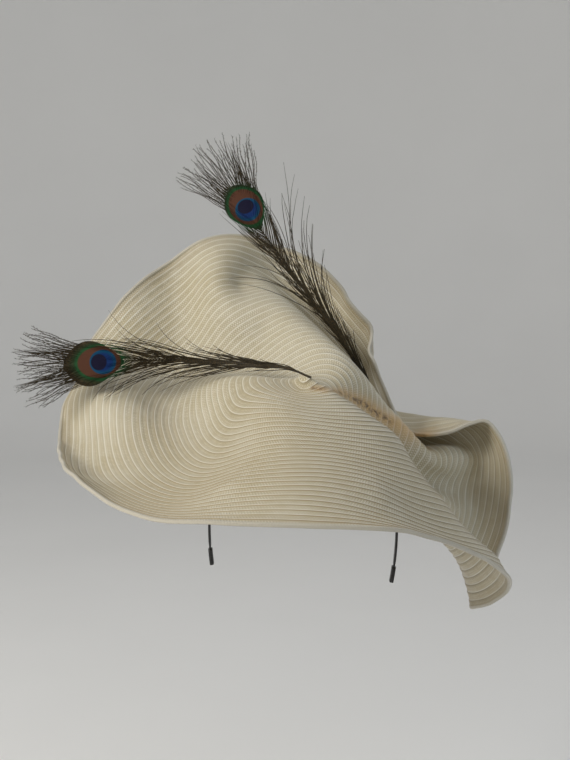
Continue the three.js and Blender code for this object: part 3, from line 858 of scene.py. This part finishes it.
# Stray barbs: they leave the feather at the turn and bend from there on
LOOSE_BARBS = 11
LOOSE_START = (0.3, 0.72)
LOOSE_LENGTH = (55, 95)
LOOSE_TURN = (8, 24)
LOOSE_BEND = (-55, 60)
LOOSE_RUN = 0.25
LOOSE_WIDTH = (0.85, 1.15)

# Barbs round the eye: how far before it they start, and what is added from the first to the last
EYE_BARBS = 34
EYE_BARB_LEAD = 0.16
EYE_BARB_RUN = 0.14
EYE_BARB_TURN = 24
EYE_BARB_TURN_GAIN = 8
EYE_BARB_TURN_SPREAD = (-3, 3)
EYE_BARB_LENGTH = 62
EYE_BARB_LENGTH_LOSS = 14
EYE_BARB_LENGTH_SPREAD = (-9, 6)
EYE_BARB_STRAIGHTENING = 0.75
EYE_BARB_AHEAD = 0.1
EYE_BARB_LIFT = 0.6
EYE_BARB_WIDTH = 0.9

# The fringe beyond the eye, and the hairs on its barbs
FRINGE_BARBS = 58
FRINGE_ROOT_INSET = 0.05
FRINGE_ROOT_SPREAD = 0.75
FRINGE_TURN_SPREAD = (-0.05, 0.05)
FRINGE_LENGTH_SHARE = (0.68, 1.05)
FRINGE_DROOP = (-4, 4)
FRINGE_SETBACK = 8
FRINGE_BOW = 5
FRINGE_WAVE = 1.4
FRINGE_WIDTH = (0.6, 0.85)
FRINGE_TIP = 0.4
HAIR_FIRST_STEP = 3
HAIRS_PER_STEP = 4
HAIR_LENGTH = (1.2, 2.4)
HAIR_ROOT = 0.45
HAIR_AHEAD = 0.8
HAIR_ASIDE = 0.6

# The eye's plate: its mesh, its outline from the neck on, and its section
EYE_PLATE_STEPS = 60
EYE_PLATE_HALF_COLUMNS = 24
EYE_PLATE_NECK = 0.06
EYE_PLATE_LEAN = 1.3
EYE_PLATE_BLUNTNESS = 0.7
EYE_PLATE_END_HALF = 0.6
EYE_PLATE_CROWN = 1.3
EYE_PLATE_SUNK = 0.4
EYE_PLATE_THICKNESS = 0.6


class Feather:
    """A feather's quill curve, its face and its eye, with the barbs gathered as thin tubes."""

    def __init__(self, plan):
        self.plan = plan
        self.rows = np.array(plan["quill"], float)
        self.random = np.random.default_rng(plan["seed"])
        face = np.array(plan["face"], float)
        self.face = face / np.linalg.norm(face)
        self.paths = []
        self.middle = self.at(plan["eye_middle"])
        self.middle_along = self.along(plan["eye_middle"])
        self.middle_across = self.across(plan["eye_middle"])

    def at(self, t):
        return curve_point(self.rows[:, :3], t)

    def along(self, t):
        step = self.at(min(t + TANGENT_STEP, 1)) - self.at(max(t - TANGENT_STEP, 0))
        return step / np.linalg.norm(step)

    def across(self, t):
        side = np.cross(self.along(t), self.face)
        return side / np.linalg.norm(side)

    def reach(self, t, over):
        """How far the barbs go from the quill, over it or under it."""
        row = min(t, 1.0) * (len(self.rows) - 1)
        return np.interp(row, np.arange(len(self.rows)), self.rows[:, 3 if over else 4])

    def eye_place(self, points):
        """Places from the eye's middle: along the feather, across it and out from its face."""
        gap = points - self.middle
        return np.stack([gap @ self.middle_along, gap @ self.middle_across, gap @ self.face], -1)

    def draw(self, ends):
        return self.random.uniform(*ends)

    def barb(self, points, width, tip=BARB_TIP):
        """A barb as a tapering tube of a few sides."""
        taper = np.linspace(1, 0, len(points)) ** BARB_TAPER
        self.paths.append((np.array(points), width * (tip + (1 - tip) * taper)))


def bundle_barbs(f):
    """Long dark barbs that hug the quill and draw away towards the eye."""
    for over in (True, False):
        sign = 1 if over else -1
        for _ in range(BUNDLE_BARBS):
            start = f.draw(BUNDLE_START) ** BUNDLE_CROWDING
            run = min(f.draw(BUNDLE_RUN), 1.0 - start)
            spread = f.draw(BUNDLE_SPREAD)
            lift = f.draw(BUNDLE_LIFT)
            curl = f.draw(BUNDLE_CURL)
            phase = f.draw((0, 2 * math.pi))
            points = []
            for part in np.linspace(0, 1, BARB_STEPS):
                t = start + run * part
                bend = part ** BUNDLE_BEND_POWER + curl * part ** BUNDLE_CURL_POWER
                reach = sign * f.reach(t, over) * spread * bend
                reach += WAVE_HEIGHT * part * math.sin(phase + WAVE_TURNS * 2 * math.pi * part)
                points.append(f.at(t) + f.across(t) * reach + f.face * lift * part * part)
            f.barb(points, f.draw(BUNDLE_WIDTH), BUNDLE_TIP)


def loose_barbs(f):
    """Stray barbs that leave the feather and curl at their ends."""
    for over in (True, False):
        sign = 1 if over else -1
        for _ in range(LOOSE_BARBS):
            start = f.draw(LOOSE_START)
            length = f.draw(LOOSE_LENGTH)
            turn = math.radians(f.draw(LOOSE_TURN))
            bend = math.radians(f.draw(LOOSE_BEND))
            point = f.at(start)
            points = [point]
            for step in range(1, BARB_STEPS):
                part = step / (BARB_STEPS - 1)
                t = min(start + LOOSE_RUN * part, LAST_PLACE)
                angle = sign * (turn - bend * part ** 2)
                heading = math.cos(angle) * f.along(t) + math.sin(angle) * f.across(t)
                point = point + heading * length / (BARB_STEPS - 1)
                points.append(point)
            f.barb(points, f.draw(LOOSE_WIDTH))


def eye_barbs(f):
    """Barbs that carry the eye, side by side, and run past its outline."""
    start, end = f.plan["eye_start"], f.plan["eye_end"]
    for sign in (1, -1):
        for k in range(EYE_BARBS):
            share = k / (EYE_BARBS - 1)
            root = start - EYE_BARB_LEAD + (end - start + EYE_BARB_RUN) * share
            angle = EYE_BARB_TURN + EYE_BARB_TURN_GAIN * share + f.draw(EYE_BARB_TURN_SPREAD)
            angle = math.radians(angle)
            length = EYE_BARB_LENGTH - EYE_BARB_LENGTH_LOSS * share + f.draw(EYE_BARB_LENGTH_SPREAD)
            along = f.along(min(root + EYE_BARB_AHEAD, LAST_PLACE))
            across = f.across(root)
            point = f.at(root)
            points = [point]
            for step in range(1, BARB_STEPS):
                part = step / (BARB_STEPS - 1)
                turn = sign * angle * (1 - EYE_BARB_STRAIGHTENING * part)
                heading = math.cos(turn) * along + math.sin(turn) * across
                point = point + heading * length / (BARB_STEPS - 1)
                points.append(point + f.face * EYE_BARB_LIFT)
            f.barb(points, EYE_BARB_WIDTH)


def fringe_barbs(f):
    """The fan of barbs beyond the eye, whose outer ones start further back."""
    end = f.plan["eye_end"]
    root = f.at(end - FRINGE_ROOT_INSET)
    along, across = f.along(end), f.across(end)
    for k in range(FRINGE_BARBS):
        share = 2 * k / (FRINGE_BARBS - 1) - 1
        turn = f.plan["fringe_turn"] * (share + f.draw(FRINGE_TURN_SPREAD))
        length = f.plan["fringe_length"] * f.draw(FRINGE_LENGTH_SHARE)
        side = across * f.plan["eye_half_width"] * FRINGE_ROOT_SPREAD * share
        heading = math.cos(turn) * along + math.sin(turn) * across
        droop = f.draw(FRINGE_DROOP)
        phase = f.draw((0, 2 * math.pi))
        first = root + side - along * FRINGE_SETBACK * share * share
        points = []
        for part in np.linspace(0, 1, BARB_STEPS):
            wave = FRINGE_WAVE * part * math.sin(phase + WAVE_TURNS * 2 * math.pi * part)
            bow = across * (share * FRINGE_BOW * part * part + wave) + f.face * droop * part * part
            points.append(first + heading * length * part + bow)
        f.barb(points, f.draw(FRINGE_WIDTH), FRINGE_TIP)


def fringe_hairs(f):
    """Short flat hairs on the fringe: one thin triangle each."""
    points, faces = [], []
    for path, _ in f.paths[-FRINGE_BARBS:]:
        for k in range(HAIR_FIRST_STEP, len(path) - 1):
            step = path[k + 1] - path[k]
            heading = step / np.linalg.norm(step)
            for _ in range(HAIRS_PER_STEP):
                base = path[k] + step * f.draw((0, 1))
                side = np.cross(heading, f.face) * f.random.choice([-1, 1])
                tip = base + (HAIR_AHEAD * heading + HAIR_ASIDE * side) * f.draw(HAIR_LENGTH)
                points += [base, base + heading * HAIR_ROOT, tip]
                faces.append([len(points) - 3, len(points) - 2, len(points) - 1])
    return np.array(points), np.array(faces)


def eye_plate(f):
    """The eye's close-set vane: a thin crowned plate, pointed towards the quill."""
    columns = 2 * EYE_PLATE_HALF_COLUMNS + 1
    end = f.plan["eye_end"]
    start = f.plan["eye_start"] + EYE_PLATE_NECK * (end - f.plan["eye_start"])
    top = []
    for part in np.linspace(0, 1, EYE_PLATE_STEPS + 1):
        t = start + (end - start) * part
        swell = max(math.sin(math.pi * part ** EYE_PLATE_LEAN), 0) ** EYE_PLATE_BLUNTNESS
        half = EYE_PLATE_END_HALF + (f.plan["eye_half_width"] - EYE_PLATE_END_HALF) * swell
        for s in np.linspace(-1, 1, columns):
            crown = EYE_PLATE_CROWN * (1 - s * s) * swell - EYE_PLATE_SUNK
            top.append(f.at(t) + f.across(t) * half * s + f.face * crown)
    top = np.array(top)
    low = top - f.face * EYE_PLATE_THICKNESS
    faces = []
    for row in range(EYE_PLATE_STEPS):
        for column in range(columns - 1):
            a = row * columns + column
            b = a + columns
            faces += [[a, a + 1, b + 1], [a, b + 1, b]]
    upper = np.array(faces)
    under = upper[:, ::-1] + len(top)
    return np.concatenate([top, low]), np.concatenate([upper, under])


def tube_mesh(paths, face):
    """Thin tubes along the paths, all in one list of points and triangles."""
    points, faces = [], []
    base = 0
    turns = np.arange(BARB_SIDES) * 2 * math.pi / BARB_SIDES + math.pi / 2
    aside = np.cos(turns)[None, :, None]
    outward = BARB_FLATNESS * np.sin(turns)[None, :, None]
    for path, widths in paths:
        along = np.gradient(path, axis=0)
        along /= np.maximum(np.linalg.norm(along, axis=1), 1e-9)[:, None]
        side = np.cross(along, face)
        side /= np.maximum(np.linalg.norm(side, axis=1), 1e-9)[:, None]
        out = np.cross(side, along)
        ring = aside * side[:, None] + outward * out[:, None]
        places = path[:, None] + ring * (widths / 2)[:, None, None]
        points.append(places.reshape(-1, 3))
        rows = len(path)
        for row in range(rows - 1):
            for k in range(BARB_SIDES):
                a = base + row * BARB_SIDES + k
                b = base + row * BARB_SIDES + (k + 1) % BARB_SIDES
                faces += [[a, b, b + BARB_SIDES], [a, b + BARB_SIDES, a + BARB_SIDES]]
        last = base + (rows - 1) * BARB_SIDES
        faces += [[base, base + 2, base + 1], [last, last + 1, last + 2]]
        base += rows * BARB_SIDES
    return np.concatenate(points), np.array(faces)


def feather(side, material):
    """One feather as a single mesh: quill and barbs, then the fringe's hairs, then the eye's plate."""
    f = Feather(FEATHERS[side])
    quill = [f.at(t) for t in np.linspace(0, f.plan["eye_end"], QUILL_STEPS)]
    f.barb(quill, QUILL_WIDTH, QUILL_TIP)
    bundle_barbs(f)
    loose_barbs(f)
    eye_barbs(f)
    fringe_barbs(f)
    points, faces, base = [], [], 0
    for part_points, part_faces in (tube_mesh(f.paths, f.face), fringe_hairs(f), eye_plate(f)):
        points.append(part_points)
        faces.append(part_faces + base)
        base += len(part_points)
    points, faces = np.concatenate(points), np.concatenate(faces)
    obj = mesh_object(f"peacock_feather_{side}", (points + DISC_CENTRE) * MM, faces)
    set_attribute(obj, "eye_place", f.eye_place(points))
    obj.data.materials.append(material)
    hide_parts(f"feather_{side}")
    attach(obj, "root")


# The headband

BAND_STEPS = 90
CAP_STEPS = 8
BAND_SIDES = 16
BAND_ROUNDING = (0.5, 0.35)
BAND_NUDGE = 0.01

# A bar's rounded end: share of the bar's length, and share of its full section
BAR_END = ((0.0, 0.02), (0.0, 0.55), (0.004, 0.85))
BAR_BODY_START = 0.012


def band_point(angle):
    """A place on the band's middle line, from the right leg over the crown to the left leg."""
    height = BAND_CROWN_HEIGHT if 0 <= angle <= math.pi else BAND_LEG_LENGTH
    x = math.cos(angle) * (BAND_INNER_HALF_WIDTH + BAND_THICKNESS / 2)
    z = math.sin(angle) * (height + BAND_THICKNESS / 2) - BAND_CROWN_HEIGHT
    return np.array([x, 0.0, z])


def band_bar(name, from_angle, to_angle, thickness, width, steps, material):
    """A bar along the band with a rounded section and rounded ends."""
    turns = np.arange(BAND_SIDES) * 2 * math.pi / BAND_SIDES
    round_x = np.sign(np.cos(turns)) * np.abs(np.cos(turns)) ** BAND_ROUNDING[0]
    round_y = np.sign(np.sin(turns)) * np.abs(np.sin(turns)) ** BAND_ROUNDING[1]
    sections = list(BAR_END)
    sections += [(share, 1.0) for share in np.linspace(BAR_BODY_START, 1 - BAR_BODY_START, steps)]
    sections += [(1 - share, swell) for share, swell in reversed(BAR_END)]
    points = []
    for share, swell in sections:
        angle = from_angle + (to_angle - from_angle) * share
        along = band_point(angle + BAND_NUDGE) - band_point(angle - BAND_NUDGE)
        along /= np.linalg.norm(along)
        outward = np.array([along[2], 0.0, -along[0]])
        middle = band_point(angle)
        for x, y in zip(round_x, round_y):
            sideways = np.array([0, y * swell * width / 2, 0])
            points.append(middle + outward * x * swell * thickness / 2 + sideways)
    quads = grid_faces(len(sections), BAND_SIDES)
    triangles = np.concatenate([quads[:, [0, 2, 1]], quads[:, [0, 3, 2]]])
    last = (len(sections) - 1) * BAND_SIDES
    ends = [[0, k, k + 1] for k in range(1, BAND_SIDES - 1)]
    ends += [[last, last + k + 1, last + k] for k in range(1, BAND_SIDES - 1)]
    obj = mesh_object(name, np.array(points) * MM, np.concatenate([triangles, ends]))
    obj.data.materials.append(material)
    return obj


def headband():
    """The satin bar and the caps on its two ends, each a small gap away from it."""
    right = -math.asin(RIGHT_LEG_DROP / BAND_LEG_LENGTH)
    left = math.pi + math.asin(LEFT_LEG_DROP / BAND_LEG_LENGTH)
    cap, gap = CAP_LENGTH / BAND_LEG_LENGTH, PIECE_GAP / BAND_LEG_LENGTH
    forms = {
        "band_satin": (BAND_THICKNESS, BAND_WIDTH, BAND_STEPS, satin_material()),
        "band_cap": (CAP_THICKNESS, CAP_WIDTH, CAP_STEPS, cap_material()),
    }
    bars = [
        ("band_satin", right + cap + gap, left - cap - gap, "headband", "band_satin"),
        ("band_end_right", right, right + cap, "headband_end_right", "band_cap"),
        ("band_end_left", left - cap, left, "headband_end_left", "band_cap"),
    ]
    for name, start, end, cad_node, slot in bars:
        obj = band_bar(name, start, end, *forms[slot])
        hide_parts(cad_node)
        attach(obj, "root")


# The studio: a pale bowl of floor and wall, soft lights, and the camera

# The bowl's sizes in metres, and its mesh
BOWL_FLOOR_HEIGHT = -0.42
BOWL_FLOOR_RADIUS = 2.6
BOWL_BEND = 1.0
BOWL_WALL_TOP = 3.4
BOWL_HOLE = 1e-4
BOWL_FLOOR_STEPS = 6
BOWL_BEND_STEPS = 8
BOWL_SIDES = 96
BOWL_DARK = (0.80, 0.795, 0.78)
BOWL_LIGHT = (0.82, 0.815, 0.80)

# Lights aimed at the top of the head: name, place, width and height in metres, watts, colour
LIGHTS = [
    ("key", (-1.9, -1.2, 1.0), (0.7, 0.7), 40.0, (1.0, 0.97, 0.91)),
    ("fill", (1.9, -0.6, 0.5), (0.6, 0.6), 5.0, (0.55, 0.74, 1.0)),
    ("top", (0.0, 0.5, 2.4), (2.2, 1.6), 14.0, (1.0, 0.98, 0.95)),
]
LIGHT_TARGET = (0.0, 0.0, 0.0)
WORLD_COLOUR = (0.92, 0.95, 1.0, 1.0)
WORLD_STRENGTH = 0.30

# The camera: mm to a pixel at the disc's centre, which lies at that pixel of the picture
PX_TO_MM = 0.785
CAMERA_DISTANCE = 1100.0
CAMERA_PITCH = math.radians(5.5)
IMAGE_WIDTH, IMAGE_HEIGHT = 570, 760
DISC_CENTRE_PX = (298.0, 384.0)
SENSOR = 36.0
CLIP_NEAR, CLIP_FAR = 0.05, 50.0


def studio_bowl():
    profile = []
    for k in range(BOWL_FLOOR_STEPS + 1):
        radius = BOWL_FLOOR_RADIUS * k / BOWL_FLOOR_STEPS
        profile.append((max(radius, BOWL_HOLE), BOWL_FLOOR_HEIGHT))
    for k in range(1, BOWL_BEND_STEPS + 1):
        angle = math.pi / 2 * k / BOWL_BEND_STEPS
        height = BOWL_FLOOR_HEIGHT + BOWL_BEND * (1 - math.cos(angle))
        profile.append((BOWL_FLOOR_RADIUS + BOWL_BEND * math.sin(angle), height))
    profile.append((BOWL_FLOOR_RADIUS + BOWL_BEND, BOWL_WALL_TOP))
    points = []
    for radius, height in profile:
        for k in range(BOWL_SIDES):
            turn = 2 * math.pi * k / BOWL_SIDES
            points.append((radius * math.cos(turn), radius * math.sin(turn), height))
    obj = mesh_object("studio_bowl", points, grid_faces(len(profile), BOWL_SIDES))
    n = Nodes("studio_pale")
    colour = n.mix(n.patches(*STUDIO_NOISE), BOWL_DARK, BOWL_LIGHT)
    obj.data.materials.append(n.set(Base_Color=colour, Roughness=0.8, Specular_IOR_Level=0.1))


def area_light(name, place, size, power, colour):
    light = bpy.data.lights.new(name, "AREA")
    light.shape = "RECTANGLE"
    light.size, light.size_y = size
    light.energy = power
    light.color = colour
    obj = bpy.data.objects.new(name, light)
    obj.location = place
    obj.rotation_mode = "QUATERNION"
    obj.rotation_quaternion = (Vector(LIGHT_TARGET) - Vector(place)).to_track_quat("-Z", "Y")
    bpy.context.scene.collection.objects.link(obj)


def studio():
    studio_bowl()
    for light in LIGHTS:
        area_light(*light)
    world = bpy.data.worlds.new("pale_room")
    world.use_nodes = True
    background = world.node_tree.nodes["Background"]
    background.inputs["Color"].default_value = WORLD_COLOUR
    background.inputs["Strength"].default_value = WORLD_STRENGTH
    bpy.context.scene.world = world
    bpy.context.scene.view_settings.view_transform = "Standard"


def camera():
    """A camera pitched down on the disc's centre, turned so that it lies at its own pixel."""
    focal_px = CAMERA_DISTANCE / PX_TO_MM
    back = Vector((0, math.cos(CAMERA_PITCH), -math.sin(CAMERA_PITCH)))
    right = Vector((1, 0, 0))
    up = right.cross(back)
    place = (Vector(DISC_CENTRE) - back * CAMERA_DISTANCE) * MM
    aim = back * focal_px
    aim += right * (IMAGE_WIDTH / 2 - DISC_CENTRE_PX[0])
    aim += up * (DISC_CENTRE_PX[1] - IMAGE_HEIGHT / 2)
    forward = aim.normalized()
    side = forward.cross(up).normalized()
    above = side.cross(forward)
    turn = Matrix((side, above, -forward)).transposed()
    data = bpy.data.cameras.new("camera")
    data.sensor_width = SENSOR
    data.lens = SENSOR * focal_px / IMAGE_HEIGHT
    data.clip_start, data.clip_end = CLIP_NEAR, CLIP_FAR
    obj = bpy.data.objects.new("camera", data)
    obj.matrix_world = Matrix.Translation(place) @ turn.to_4x4()
    bpy.context.scene.collection.objects.link(obj)
    bpy.context.scene.camera = obj


straw_disc()
barbs = feather_material()
feather("left", barbs)
feather("upper", barbs)
headband()
studio()
camera()
